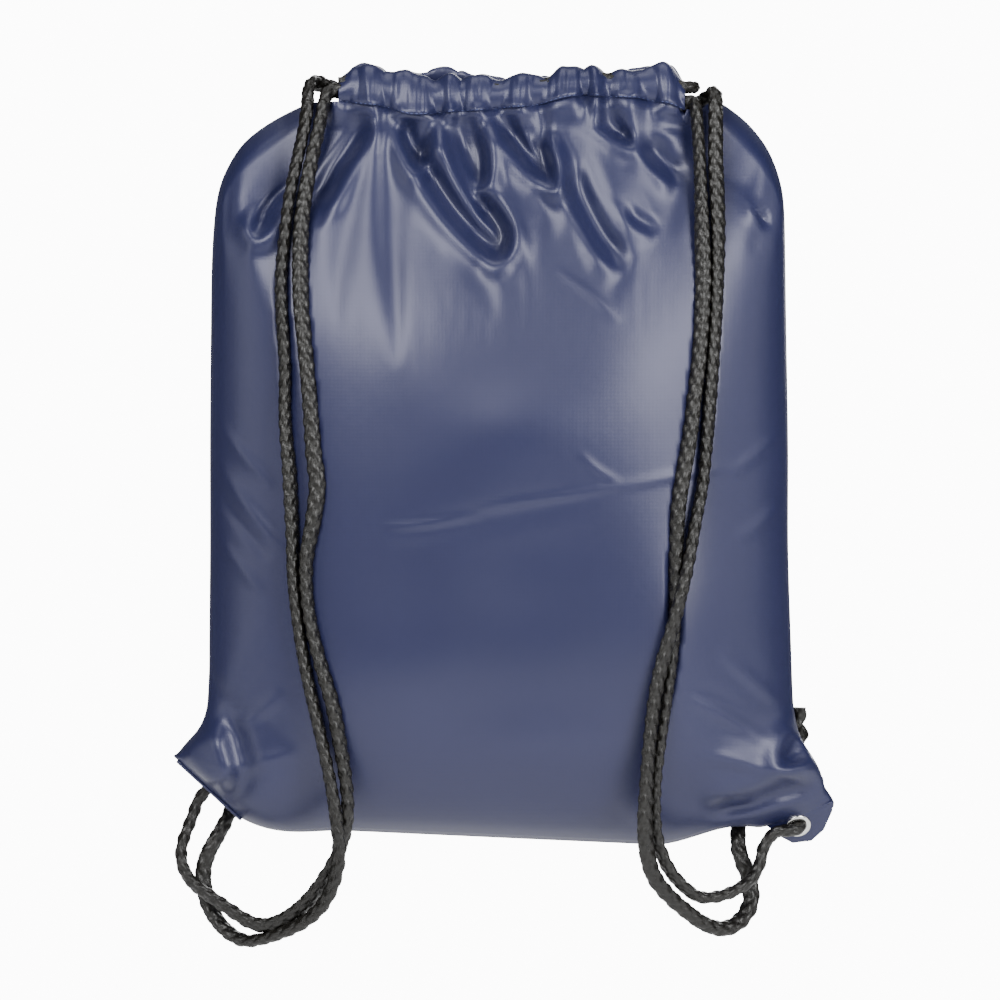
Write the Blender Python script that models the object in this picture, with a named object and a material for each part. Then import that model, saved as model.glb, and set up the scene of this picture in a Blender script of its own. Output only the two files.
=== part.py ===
"""Drawstring backpack, filled and hanging upright by its gathered mouth.

Metres, +Z up. The origin is the middle of the mouth at its top edge, the wearer's side with
the two cord straps faces -Y, and +X is to the right of someone looking at that side.
"drop" means distance below the mouth's top edge, so z = -drop.
"""

import math

import bmesh
import bpy
from mathutils import Matrix, Vector

GAP = 0.0003  # between touching pieces

# The filled bag
BOTTOM_DROP = 0.396
NECK_HALF = 0.092  # half the width at the mouth
SHOULDER_DROP = 0.080  # the shoulders are round down to here
TOP_HALF = 0.149  # half the width below the shoulders
BASE_HALF = 0.154  # half the width at the bottom, before the corners round off
FLARE_DROP = 0.330  # where BASE_HALF is reached
CORNER_RADIUS = {-1: 0.052, 1: 0.036}  # left, right
NECK_SHIFT = 0.010  # the mouth is gathered a little to the right
NECK_SHIFT_DROP = 0.035
NECK_DEPTH = 0.011  # half the thickness under the casing
FULL_DEPTH = 0.057  # half the thickness where the bag is fullest
FULL_DROP = 0.225
WALL = 0.0012  # fabric
RIM_GAP = 0.0008  # from the middle plane to each panel's edge

# The gathered hem that holds the cords
CASING_MIDDLE = 0.006
CASING_HALF = 0.090
CASING_HEIGHT = 0.020
CASING_DEPTH = 0.0105
CASING_WALL = 0.0015
CASING_END_Y = 0.0058  # from the middle plane to the hem's middle, at its ends
CASING_BOW = 0.0045  # how much further out it is halfway
STITCHING_DROP = 0.0145
THREAD_RADIUS = 0.00035

# Cords
CORD_RADIUS = 0.003
CORD_STEP = 0.014  # between a tube's rings
RUN_STEP = 0.0055
LEAD_STEP = 0.0038
STITCHING_STEP = 0.012
UPPER_LANE = -0.0066  # height of the left cord inside the casing
LOWER_LANE = -0.0134  # height of the right cord inside the casing
LANE_TURN = 0.091  # from CASING_MIDDLE to where a cord turns into the other hem

# Seams inside the bag, and the flat sewn corners
SEAM_WIDTH = 0.010
FABRIC_HALF = 0.0005  # half the thickness of sewn layers
BOTTOM_SEAM_HALF = 0.1222
SHOULDER_TOP_DROP = 0.0125  # top end of each side seam
CORNER_TOP_DROP = 0.343  # where a side seam meets its corner
SEAM_CLEAR = 0.0008

# Eyelets: radii, and distances along the axis from the middle of the fabric
EYELET_BORE = 0.0038
EYELET_BARREL = 0.0044
EYELET_RIM = 0.00675
EYELET_RIM_FLAT = 0.00625  # the flange's flat face ends here
EYELET_RIM_FACE = 0.0013
EYELET_FACE = 0.0017
EYELET_CLINCH = 0.0056
WASHER_THICKNESS = 0.0007
CLINCH_THICKNESS = 0.0007
HOLE_CUT = 0.004  # how far the hole's cutter reaches either way
FLAP_OVERLAP = 0.4  # how far the flap runs into the ear, in millimetres

KNOT_RADII = (0.0085, 0.0075, 0.0095)


def millimetres(*points):
    return [Vector(point) / 1000 for point in points]


# Corner fabric, as points (x, z) in millimetres on the middle plane. The fold runs from the ear's
# tip towards the bottom seam, and the flap with the eyelet hangs behind it.
CORNERS = {
    "left": {
        "tip": Vector((-0.170, 0, -0.354)),
        "along": Vector((0.736, 0, -0.677)).normalized(),
        "outward": Vector((-0.677, 0, -0.736)).normalized(),
        "fold_angle": math.radians(95),
        "ear": [
            (-154.3, -343.3),
            (-158.5, -345.5),
            (-165, -349.5),
            (-170, -354),
            (-134.7, -386.5),
            (-122.5, -391.6),
            (-122.5, -381),
            (-131, -375),
            (-139, -364),
            (-144, -352),
            (-144.5, -343.3),
        ],
        "flap": [(2, 0), (4, 8), (10, 17), (18, 21.5), (30, 21), (40, 12), (46, 5), (48, 0)],
        "eyelet": (0.024, 0.0125),
    },
    "right": {
        "tip": Vector((0.128, 0, -0.3913)),
        "along": Vector((0.95, 0, 0.312)).normalized(),
        "outward": Vector((0.312, 0, -0.95)).normalized(),
        "fold_angle": math.radians(35),
        "ear": [
            (154.3, -343.3),
            (157, -352),
            (163, -361),
            (169, -368),
            (174, -376.2),
            (142.3, -386.61),
            (138, -389.9),
            (130, -393.8),
            (122.5, -395.6),
            (122.5, -385.5),
            (131, -383),
            (138, -376),
            (143, -366),
            (144.5, -352),
            (144.5, -343.3),
        ],
        "flap": [(15.5, 0), (17, 12), (22, 19), (31, 21), (37, 15), (44, 6), (47, 0)],
        "eyelet": (0.0267, 0.008),
    },
}

# Cord routes, in millimetres. Each strand hangs from the casing's end over the front of the bag
# and loops below it, back to its corner.
LEFT_OUTER_STRAND = millimetres(
    (-100, -11.3, -14.3),
    (-101.6, -14.8, -27),
    (-105, -19.4, -43),
    (-109, -24.2, -63),
    (-111.5, -28.2, -84),
    (-113.2, -31.5, -105),
    (-112.6, -34.9, -126),
    (-111, -38.2, -150),
    (-110.8, -41, -178),
    (-108.5, -43.6, -205),
    (-107, -45, -235),
    (-106.3, -45.3, -262),
    (-103, -45.5, -290),
    (-99, -45.6, -312),
    (-94.5, -45.6, -332),
    (-90, -45.4, -352),
    (-86.5, -44.9, -370),
    (-84.3, -44.3, -385),
    (-83, -43.3, -397),
    (-83.4, -41.5, -407),
    (-86.5, -38, -419),
    (-92.5, -33, -430),
    (-102, -26.5, -438.5),
    (-113, -19.5, -444),
    (-123, -12.5, -447.5),
    (-132, -6, -449),
    (-140, 0, -446),
    (-147, 4.5, -439.5),
    (-152, 7.5, -431),
    (-154.5, 9, -421.5),
    (-154.6, 9.6, -411.5),
    (-152, 9.7, -403.5),
)
LEFT_INNER_STRAND = millimetres(
    (-91.5, -12.3, -14.5),
    (-94, -15.8, -27),
    (-97.4, -21, -43),
    (-101, -26.3, -63),
    (-103, -31, -84),
    (-102.8, -36.6, -115),
    (-100.5, -41.2, -140),
    (-98, -45, -168),
    (-96, -47.6, -195),
    (-94, -49.2, -212),
    (-96, -49.3, -230),
    (-99.6, -48.2, -251),
    (-98.8, -47.6, -275),
    (-93.5, -47.8, -300),
    (-86.5, -46.8, -324),
    (-82.5, -45, -345),
    (-79.4, -42.5, -365),
    (-78.6, -39.8, -380),
    (-80.3, -36.6, -393),
    (-84.5, -34, -404),
    (-90, -30.8, -414),
    (-96.8, -27, -424),
    (-105, -22.5, -432.5),
    (-114.5, -18, -438.5),
    (-123, -14, -440.5),
    (-131, -10, -438.5),
    (-141, -5, -432.5),
    (-151, -0.5, -426),
    (-160, 3.5, -419.5),
    (-165.2, 6, -411.5),
    (-166.4, 7.5, -403.5),
    (-165.6, 8, -399),
)
RIGHT_OUTER_STRAND = millimetres(
    (112, -10.8, -14.5),
    (112, -14.5, -28),
    (111.8, -18.5, -43),
    (112.5, -23, -63),
    (113, -27.5, -84),
    (112.5, -31.5, -105),
    (111.5, -35, -126),
    (109.8, -38.5, -150),
    (107.5, -42, -180),
    (104.7, -45.5, -209),
    (100.5, -49.6, -232),
    (96.6, -53.2, -254),
    (92.5, -55, -271),
    (88.5, -54.8, -286),
    (83.5, -53.6, -303),
    (79.5, -53, -322),
    (76.8, -51.5, -345),
    (75.2, -49.3, -368),
    (74.6, -46.5, -388),
    (76, -42.5, -403),
    (80, -37.5, -415),
    (88, -31, -425),
    (97, -24.5, -433),
    (106, -17.5, -439.5),
    (115.5, -10, -442.5),
    (124, -3, -439.5),
    (129.8, 2.5, -432),
    (131, 5.6, -424.5),
    (129.6, 7.6, -416),
    (126.6, 8.6, -408.5),
    (124.9, 9, -403.2),
)
RIGHT_INNER_STRAND = millimetres(
    (102.1, -11.3, -18.8),
    (102.8, -15.3, -30),
    (103.4, -19.7, -43),
    (104, -24.9, -63),
    (104.5, -29.5, -84),
    (105, -33.5, -105),
    (104.2, -37.3, -126),
    (102.6, -40.9, -147),
    (100, -44, -168),
    (97.4, -46.6, -189),
    (92.2, -49.4, -220),
    (90.6, -49.5, -245),
    (90.2, -49.1, -265),
    (89.8, -48.4, -285),
    (88.3, -47.3, -303),
    (85.4, -46.8, -324),
    (82, -45.5, -347),
    (79.6, -43.3, -368),
    (79.8, -40.3, -388),
    (82.5, -37.5, -400),
    (88, -33, -411.5),
    (96, -27.5, -420.5),
    (104, -22, -425.5),
    (115, -16, -425),
    (125, -10.5, -421),
    (131.5, -6, -416),
    (135, -3.2, -409.5),
    (136.4, -1.8, -404),
)

# The short stretches that stay with the bag: from the casing to each strand, and from each strand
# through the eyelet or up behind the bag to the knot.
LEFT_FRONT_EXIT = millimetres((-91.3, -12, -13.6), (-90.5, -11, -10.3), (-88.3, -8.9, -7.6))
LEFT_BACK_EXIT = millimetres(
    (-91, 5.5, -4), (-96, 0.5, -2.5), (-98.8, -5.5, -4), (-99.8, -9.8, -8.6), (-99.95, -11, -13.3)
)
RIGHT_FRONT_EXIT = millimetres((101.9, -10.7, -17.4), (101.2, -9.3, -14.8), (99.5, -7.3, -13.4))
RIGHT_BACK_EXIT = millimetres(
    (102, 7.2, -13.3),
    (107.5, 6, -11),
    (110.6, 1.5, -8.6),
    (111.8, -4, -8),
    (112, -8.6, -9.8),
    (112, -10.4, -13.2),
)
LEFT_EYELET_LEAD = millimetres(
    (-165.3, 8.2, -397.5),
    (-163, 10.5, -391),
    (-160.3, 12.3, -384),
    (-158, 13.2, -377.5),
    (-155, 12.9, -373.1),
    (-151.6, 12.5, -369.4),
    (-148.2, 12.1, -365.7),
    (-145.5, 14.5, -361.5),
    (-143, 18.5, -358),
)
LEFT_BACK_LEAD = millimetres(
    (-151.4, 9.9, -402.1),
    (-146.8, 12.3, -394),
    (-143, 16, -387),
    (-140, 20.5, -379),
    (-138.7, 24, -370),
    (-138.6, 26, -361.5),
)
RIGHT_EYELET_LEAD = millimetres(
    (136.9, -1.6, -401.6),
    (139.5, -1.2, -396.8),
    (142.3, -1.2, -393.8),
    (146, -1.6, -392.1),
    (150.6, -1.3, -391.9),
    (154.1, 0.1, -391.8),
    (155.4, 3.1, -390.1),
    (155, 6.2, -388.1),
    (154.4, 9.1, -386.2),
    (153.6, 12.2, -382.5),
    (152.6, 15.5, -376),
    (151.8, 17.3, -367),
    (151.3, 18, -358),
)
RIGHT_BACK_LEAD = millimetres(
    (124.6, 9.6, -401.7),
    (124.3, 12, -394),
    (125.5, 16.5, -386),
    (129, 20, -376),
    (135, 22.5, -366),
    (141.5, 22.5, -357),
    (146.2, 20.8, -351),
)
LEFT_KNOT = {
    "centre": Vector((-0.1395, 0.0265, -0.3500)),
    "tails": millimetres((-134, 29, -337), (-146.5, 27, -337.5)),
}
RIGHT_KNOT = {
    "centre": Vector((0.1510, 0.0190, -0.3430)),
    "tails": millimetres((156.5, 21, -328.5), (147, 23, -328.5)),
}


def clear_scene():
    for obj in list(bpy.data.objects):
        bpy.data.objects.remove(obj, do_unlink=True)


def material(name, colour, roughness, metallic=0.0):
    made = bpy.data.materials.new(name)
    made.use_nodes = True
    shader = made.node_tree.nodes["Principled BSDF"]
    shader.inputs["Base Color"].default_value = (*colour, 1)
    shader.inputs["Roughness"].default_value = roughness
    shader.inputs["Metallic"].default_value = metallic
    made.diffuse_color = (*colour, 1)
    return made


def add_object(name, data, finish, smooth=True):
    if isinstance(data, bpy.types.Mesh) and smooth:
        data.shade_smooth()
        data.set_sharp_from_angle(angle=math.radians(40))
    data.materials.append(finish)
    obj = bpy.data.objects.new(name, data)
    bpy.context.scene.collection.objects.link(obj)
    return obj


def mesh_of(name, points, faces):
    """A mesh with its faces turned outwards."""
    mesh = bpy.data.meshes.new(name)
    mesh.from_pydata([tuple(p) for p in points], [], faces)
    edit = bmesh.new()
    edit.from_mesh(mesh)
    bmesh.ops.recalc_face_normals(edit, faces=edit.faces)
    if edit.calc_volume(signed=True) < 0:
        bmesh.ops.reverse_faces(edit, faces=edit.faces)
    edit.to_mesh(mesh)
    edit.free()
    return mesh


# The bag's shape


def half_width(drop, side, inset=0.0):
    """From the bag's middle to its side seam, at this drop."""
    body = TOP_HALF + (BASE_HALF - TOP_HALF) * min(drop / FLARE_DROP, 1) - inset
    radius = CORNER_RADIUS[side] - inset
    below_arc = drop - (BOTTOM_DROP - inset - radius)
    if drop < SHOULDER_DROP:
        rise = 1 - drop / SHOULDER_DROP
        neck = NECK_HALF - inset
        return neck + (body - neck) * math.sqrt(1 - rise * rise)
    if below_arc > 0:
        return body - radius + math.sqrt(max(0.0, radius * radius - below_arc * below_arc))
    return body


def middle_x(drop):
    return NECK_SHIFT * max(0.0, 1 - drop / NECK_SHIFT_DROP) ** 2


def half_depth(drop, inset=0.0):
    """From the middle plane to the fullest point of a panel, at this drop."""
    if drop < FULL_DROP:
        share = max(0.0, drop - CASING_HEIGHT) / (FULL_DROP - CASING_HEIGHT)
        swell = math.sin(math.pi / 2 * share) ** 0.8
    else:
        share = min(1.0, (drop - FULL_DROP) / (BOTTOM_DROP - inset - FULL_DROP))
        return (FULL_DEPTH - inset) * math.sqrt(1 - share**2.4)
    return NECK_DEPTH - inset + (FULL_DEPTH - NECK_DEPTH) * swell


def panel_point(across, down, face, inset):
    """A point of a panel: across is -1 to 1, down is 0 at the hem to 1, face is -1 in front."""
    edge = min(1.0, max(0.0, (abs(across) - 0.74) / 0.26))
    top = CASING_HEIGHT + GAP + (SHOULDER_TOP_DROP - CASING_HEIGHT) * edge * edge * (3 - 2 * edge)
    drop = top + (BOTTOM_DROP - inset - top) * down
    side = -1 if across < 0 else 1
    x = middle_x(drop) + across * half_width(drop, side, inset)
    lens = max(0.0, 1 - abs(across) ** 2.2) ** 0.6
    return Vector((x, face * (RIM_GAP + half_depth(drop, inset) * lens), -drop))


def panel(name, face, finish):
    """One fabric panel: an outer and an inner skin joined all round their edge."""
    columns, rows = 22, 18
    points, faces = [], []
    for inset in (0.0, WALL):
        for row in range(rows + 1):
            even = row / rows
            down = 0.45 * even + 0.55 * (1 - math.cos(math.pi * even)) / 2
            for column in range(columns + 1):
                across = math.sin(math.pi * (column / columns - 0.5))
                points.append(panel_point(across, down, face, inset))
    width = columns + 1
    inner = width * (rows + 1)
    for row in range(rows):
        for column in range(columns):
            a = row * width + column
            outer = (a, a + 1, a + width + 1, a + width)
            faces.append(outer)
            faces.append(tuple(inner + i for i in reversed(outer)))
    rim = [row * width for row in range(rows + 1)]
    rim += [rows * width + column for column in range(1, width)]
    rim += [row * width + columns for row in reversed(range(rows))]
    rim += [column for column in reversed(range(1, columns))]
    for a, b in zip(rim, rim[1:] + rim[:1]):
        faces.append((a, b, inner + b, inner + a))
    return add_object(name, mesh_of(name, points, faces), finish)


# The casing


def casing_y(x):
    share = (x - CASING_MIDDLE) / CASING_HALF
    return CASING_END_Y + CASING_BOW * max(0.0, 1 - share * share)


def rounded_ring(half_deep, half_high, count=16):
    """A rounded rectangle as a fourth-power superellipse."""
    ring = []
    for i in range(count):
        angle = 2 * math.pi * i / count
        c, s = math.cos(angle), math.sin(angle)
        ring.append(
            (
                half_deep * math.copysign(math.sqrt(abs(c)), c),
                half_high * math.copysign(math.sqrt(abs(s)), s),
            )
        )
    return ring


def casing(name, face, finish):
    """A hem sewn into a tunnel, open at both ends."""
    steps, count = 16, 16
    middle_z = -CASING_HEIGHT / 2
    rings = (
        rounded_ring(CASING_DEPTH / 2, CASING_HEIGHT / 2),
        rounded_ring(CASING_DEPTH / 2 - CASING_WALL, CASING_HEIGHT / 2 - CASING_WALL),
    )
    points, faces = [], []
    for ring in rings:
        for step in range(steps + 1):
            x = CASING_MIDDLE + CASING_HALF * (2 * step / steps - 1)
            for deep, high in ring:
                points.append((x, face * casing_y(x) + deep, middle_z + high))
    inner = count * (steps + 1)
    for step in range(steps):
        for i in range(count):
            a, b = step * count + i, step * count + (i + 1) % count
            outer = (a, b, b + count, a + count)
            faces.append(outer)
            faces.append(tuple(inner + k for k in reversed(outer)))
    for start in (0, steps * count):
        for i in range(count):
            a, b = start + i, start + (i + 1) % count
            faces.append((a, b, inner + b, inner + a))
    return add_object(name, mesh_of(name, points, faces), finish)


# Tubes


def smooth_route(route, step=CORD_STEP):
    """Evenly spaced points on a smooth curve through the route's own points."""
    ends = [2 * route[0] - route[1], *route, 2 * route[-1] - route[-2]]
    fine = []
    for a, b, c, d in zip(ends, ends[1:], ends[2:], ends[3:]):
        for k in range(16):
            t = k / 16
            fine.append(
                0.5
                * (
                    2 * b
                    + (c - a) * t
                    + (2 * a - 5 * b + 4 * c - d) * t * t
                    + (3 * b - a - 3 * c + d) * t**3
                )
            )
    fine.append(route[-1])
    lengths = [0.0]
    for a, b in zip(fine, fine[1:]):
        lengths.append(lengths[-1] + (b - a).length)
    count = max(2, round(lengths[-1] / step))
    found, i = [], 0
    for k in range(count + 1):
        wanted = lengths[-1] * k / count
        while i < len(fine) - 2 and lengths[i + 1] < wanted:
            i += 1
        share = (wanted - lengths[i]) / (lengths[i + 1] - lengths[i])
        found.append(fine[i].lerp(fine[i + 1], share))
    return found


def tube(name, route, radius, finish, step=CORD_STEP):
    curve = bpy.data.curves.new(name, "CURVE")
    curve.dimensions = "3D"
    curve.bevel_depth = radius
    curve.bevel_resolution = 2
    curve.use_fill_caps = True
    points = smooth_route(route, step)
    spline = curve.splines.new("POLY")
    spline.points.add(len(points) - 1)
    for point, place in zip(spline.points, points):
        point.co = (*place, 1)
    return add_object(name, curve, finish)


def casing_loop(lane, from_right):
    """A cord's way along one hem, round the far end and back along the other hem."""
    direction = -1 if from_right else 1
    near = CASING_MIDDLE - direction * CASING_HALF
    far = CASING_MIDDLE + direction * LANE_TURN
    straight = [near + (far - near) * k / 8 for k in range(9)]
    turn = casing_y(far)
    front = [Vector((x, -casing_y(x), lane)) for x in straight]
    bend = [
        Vector((far + direction * turn * math.sin(a), -turn * math.cos(a), lane))
        for a in (math.radians(angle) for angle in (30, 60, 90, 120, 150))
    ]
    back = [Vector((x, casing_y(x), lane)) for x in reversed(straight)]
    return front + bend + back


def casing_stitching(name, face, finish):
    """The thread line that closes the hem, on its outer face."""
    off = CASING_DEPTH / 2 + GAP + THREAD_RADIUS
    span = [CASING_MIDDLE + CASING_HALF * 0.98 * (k / 6 - 1) for k in range(13)]
    route = [Vector((x, face * (casing_y(x) + off), -STITCHING_DROP)) for x in span]
    return tube(name, route, THREAD_RADIUS, finish, STITCHING_STEP)


# Seams and corners


def flat_strip(name, outline, finish):
    """A closed outline of (x, z) points on the middle plane, thickened both ways."""
    count = len(outline)
    points = [(x, y, z) for y in (-FABRIC_HALF, FABRIC_HALF) for x, z in outline]
    faces = [tuple(range(count)), tuple(reversed(range(count, 2 * count)))]
    faces += [(i, (i + 1) % count, count + (i + 1) % count, count + i) for i in range(count)]
    return add_object(name, mesh_of(name, points, faces), finish, smooth=False)


def side_seam(name, side, finish):
    """The turned-in seam allowance between the two panels, from the shoulder to the corner."""
    first = SHOULDER_TOP_DROP + SEAM_CLEAR
    last = CORNER_TOP_DROP - GAP
    drops = [first + (last - first) * (k / 14) ** 1.6 for k in range(15)]

    def edge(inset):
        return [(middle_x(d) + side * (half_width(d, side) - inset), -d) for d in drops]

    return flat_strip(name, edge(0.0) + list(reversed(edge(SEAM_WIDTH))), finish)


def bottom_seam(name, finish):
    count = 10
    xs = [BOTTOM_SEAM_HALF * (2 * k / count - 1) for k in range(count + 1)]
    lower = []
    for x in xs:
        side = -1 if x < 0 else 1
        radius = CORNER_RADIUS[side]
        past = max(0.0, abs(x) - (BASE_HALF - radius))
        lower.append((x, -BOTTOM_DROP + radius - math.sqrt(radius * radius - past * past)))
    upper = [(x, z + SEAM_WIDTH) for x, z in reversed(lower)]
    return flat_strip(name, lower + upper, finish)


def eyelet_frame(corner):
    """The eyelet's matrix: +Z is the axis, pointing out of its flanged face."""
    fold, along, outward = corner["fold_angle"], corner["along"], corner["outward"]
    down = math.cos(fold) * outward + math.sin(fold) * Vector((0, 1, 0))
    axis = math.cos(fold) * Vector((0, -1, 0)) + math.sin(fold) * outward
    a, b = corner["eyelet"]
    frame = Matrix((along, axis.cross(along), axis)).transposed().to_4x4()
    frame.translation = corner["tip"] + a * along + b * down
    return frame, down


def corner_reinforcement(name, corner, finish):
    """The ear in line with the side seam, and the flap folded back from it with its eyelet hole."""
    frame, down = eyelet_frame(corner)
    ear = flat_strip(name, [(x / 1000, z / 1000) for x, z in corner["ear"]], finish)
    flap_start, flap_end = corner["flap"][0][0], corner["flap"][-1][0]
    outline = [(flap_start, -FLAP_OVERLAP), *corner["flap"], (flap_end, -FLAP_OVERLAP)]
    axis = frame.col[2].to_3d()
    middle = [corner["tip"] + (a * corner["along"] + b * down) / 1000 for a, b in outline]
    count = len(middle)
    points = [p + side * FABRIC_HALF * axis for side in (-1, 1) for p in middle]
    faces = [tuple(range(count)), tuple(reversed(range(count, 2 * count)))]
    faces += [(i, (i + 1) % count, count + (i + 1) % count, count + i) for i in range(count)]
    flap = helper(name + "_flap", mesh_of(name + "_flap", points, faces), finish)
    boolean(ear, flap, "UNION")
    radius = EYELET_BARREL + GAP
    profile = [(0, -HOLE_CUT), (radius, -HOLE_CUT), (radius, HOLE_CUT), (0, HOLE_CUT)]
    cutter = lathe(name + "_hole", profile)
    hole = helper(name + "_hole", cutter, finish)
    hole.matrix_world = frame
    boolean(ear, hole, "DIFFERENCE")


def helper(name, mesh, finish):
    """A solid that only shapes another one."""
    obj = add_object(name, mesh, finish, smooth=False)
    obj.hide_render = True
    obj.display_type = "WIRE"
    return obj


def boolean(obj, other, operation):
    modifier = obj.modifiers.new(other.name, "BOOLEAN")
    modifier.solver = "EXACT"
    modifier.operation = operation
    modifier.object = other


def lathe(name, profile, count=24):
    """A solid turned about Z from (radius, height) points. A profile that starts and ends on the
    axis is capped there, and any other is closed on itself."""
    solid = profile[0][0] == 0
    turned = profile[1:-1] if solid else profile
    points, faces = [], []
    for k in range(count):
        angle = 2 * math.pi * k / count
        points += [(r * math.cos(angle), r * math.sin(angle), h) for r, h in turned]
    size = len(turned)
    for k in range(count):
        here, there = k * size, (k + 1) % count * size
        for i in range(size - 1 if solid else size):
            j = (i + 1) % size
            faces.append((here + i, there + i, there + j, here + j))
    if solid:
        faces.append(tuple(k * size for k in range(count)))
        faces.append(tuple(k * size + size - 1 for k in reversed(range(count))))
    return mesh_of(name, points, faces)


def eyelet(name, frame, finish):
    washer_face = FABRIC_HALF + GAP + WASHER_THICKNESS
    clinch = washer_face + GAP
    profile = [
        (EYELET_BORE, EYELET_FACE),
        (EYELET_RIM_FLAT, EYELET_FACE),
        (EYELET_RIM, EYELET_RIM_FACE),
        (EYELET_RIM, FABRIC_HALF + GAP),
        (EYELET_BARREL, FABRIC_HALF + GAP),
        (EYELET_BARREL, -clinch),
        (EYELET_CLINCH, -clinch),
        (EYELET_CLINCH, -clinch - CLINCH_THICKNESS),
        (EYELET_BORE, -clinch - CLINCH_THICKNESS),
    ]
    obj = add_object(name, lathe(name, profile), finish)
    obj.matrix_world = frame
    return obj


def washer(name, frame, finish):
    near, far = -(FABRIC_HALF + GAP), -(FABRIC_HALF + GAP + WASHER_THICKNESS)
    inner = EYELET_BARREL + GAP
    profile = [(inner, near), (EYELET_RIM, near), (EYELET_RIM, far), (inner, far)]
    obj = add_object(name, lathe(name, profile), finish)
    obj.matrix_world = frame
    return obj


def knot(name, place, finish):
    """An overhand knot in both cord ends, as a lump with two short tails."""
    mesh = bpy.data.meshes.new(name)
    edit = bmesh.new()
    bmesh.ops.create_icosphere(edit, subdivisions=2, radius=1)
    edit.transform(Matrix.Diagonal((*KNOT_RADII, 1)))
    edit.to_mesh(mesh)
    edit.free()
    obj = add_object(name, mesh, finish)
    obj.location = place["centre"]
    for k, end in enumerate(place["tails"]):
        way = end - place["centre"]
        profile = [(0, 0), (CORD_RADIUS, 0), (CORD_RADIUS, way.length), (0, way.length)]
        tail = helper(f"{name}_tail_{k}", lathe(f"{name}_tail_{k}", profile, 10), finish)
        turn = way.to_track_quat("Z", "Y").to_matrix().to_4x4()
        tail.matrix_world = Matrix.Translation(place["centre"]) @ turn
        boolean(obj, tail, "UNION")


def build():
    clear_scene()
    nylon = material("navy_nylon", (0.045, 0.062, 0.150), 0.42)
    thread = material("navy_thread", (0.030, 0.040, 0.090), 0.6)
    braid = material("black_cord", (0.022, 0.020, 0.016), 0.5)
    nickel = material("nickel", (0.72, 0.71, 0.68), 0.22, 1.0)

    panel("front_panel", -1, nylon)
    panel("back_panel", 1, nylon)
    casing("front_casing", -1, nylon)
    casing("back_casing", 1, nylon)
    casing_stitching("front_casing_stitching", -1, thread)
    casing_stitching("back_casing_stitching", 1, thread)
    side_seam("left_side_seam", -1, nylon)
    side_seam("right_side_seam", 1, nylon)
    bottom_seam("bottom_seam", nylon)

    for side, corner in CORNERS.items():
        frame, _ = eyelet_frame(corner)
        corner_reinforcement(f"{side}_corner_reinforcement", corner, nylon)
        eyelet(f"{side}_eyelet", frame, nickel)
        washer(f"{side}_eyelet_washer", frame, nickel)

    left_run = LEFT_FRONT_EXIT + casing_loop(UPPER_LANE, False) + LEFT_BACK_EXIT
    right_run = RIGHT_FRONT_EXIT + casing_loop(LOWER_LANE, True) + RIGHT_BACK_EXIT
    cords = {
        "left_cord_casing_run": left_run,
        "right_cord_casing_run": right_run,
        "left_strap_outer_strand": LEFT_OUTER_STRAND,
        "left_strap_inner_strand": LEFT_INNER_STRAND,
        "right_strap_outer_strand": RIGHT_OUTER_STRAND,
        "right_strap_inner_strand": RIGHT_INNER_STRAND,
        "left_cord_eyelet_lead": LEFT_EYELET_LEAD,
        "left_cord_back_lead": LEFT_BACK_LEAD,
        "right_cord_eyelet_lead": RIGHT_EYELET_LEAD,
        "right_cord_back_lead": RIGHT_BACK_LEAD,
    }
    for name, route in cords.items():
        step = {"lead": LEAD_STEP, "run": RUN_STEP, "strand": CORD_STEP}[name.split("_")[-1]]
        tube(name, route, CORD_RADIUS, braid, step)
    knot("left_cord_knot", LEFT_KNOT, braid)
    knot("right_cord_knot", RIGHT_KNOT, braid)


build()
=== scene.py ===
"""Drawstring backpack: the visual model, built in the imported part's own frame.

Metres, +Z up, the wearer's side faces -Y. "drop" is distance below the mouth's top edge.
"""

import math

import bmesh
import bpy
import numpy as np
from mathutils import Matrix, Vector, kdtree, noise


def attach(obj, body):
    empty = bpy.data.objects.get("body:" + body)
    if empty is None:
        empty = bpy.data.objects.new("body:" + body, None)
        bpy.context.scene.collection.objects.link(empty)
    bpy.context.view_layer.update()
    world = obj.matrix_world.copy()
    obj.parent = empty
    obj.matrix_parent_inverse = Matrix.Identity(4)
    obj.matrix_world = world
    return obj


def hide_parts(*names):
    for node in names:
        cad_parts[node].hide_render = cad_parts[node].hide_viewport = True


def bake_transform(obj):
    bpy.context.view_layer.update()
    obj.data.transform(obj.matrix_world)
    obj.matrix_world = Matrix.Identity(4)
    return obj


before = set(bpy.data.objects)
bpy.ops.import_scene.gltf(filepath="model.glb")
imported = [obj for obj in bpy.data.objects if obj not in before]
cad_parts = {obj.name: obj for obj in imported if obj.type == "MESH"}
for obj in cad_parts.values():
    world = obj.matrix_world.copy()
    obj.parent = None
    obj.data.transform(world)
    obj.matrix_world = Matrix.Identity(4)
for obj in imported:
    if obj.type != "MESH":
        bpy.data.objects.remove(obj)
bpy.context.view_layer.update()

# The filled bag's outline, the same as the part's. A "half" is from the middle, a "depth" is half
# the thickness.
BOTTOM_DROP = 0.396
NECK_HALF = 0.092
SHOULDER_DROP = 0.080
TOP_HALF = 0.149
BASE_HALF = 0.154
FLARE_DROP = 0.330
NECK_SHIFT = 0.010
NECK_SHIFT_DROP = 0.035
NECK_DEPTH = 0.011
FULL_DEPTH = 0.057
FULL_DROP = 0.225
CASING_MIDDLE = 0.006
CASING_HALF = 0.090
CASING_CORD = 0.0058  # from the middle plane to the cord in each hem, at the casing's ends
CASING_BOW = 0.0045
HEM_EXIT = 0.0062  # from the middle plane to where each cord leaves its hem
FILLING_DROP = 0.021  # where the bag starts to fill out
STITCHED_DROP = 0.020

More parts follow.
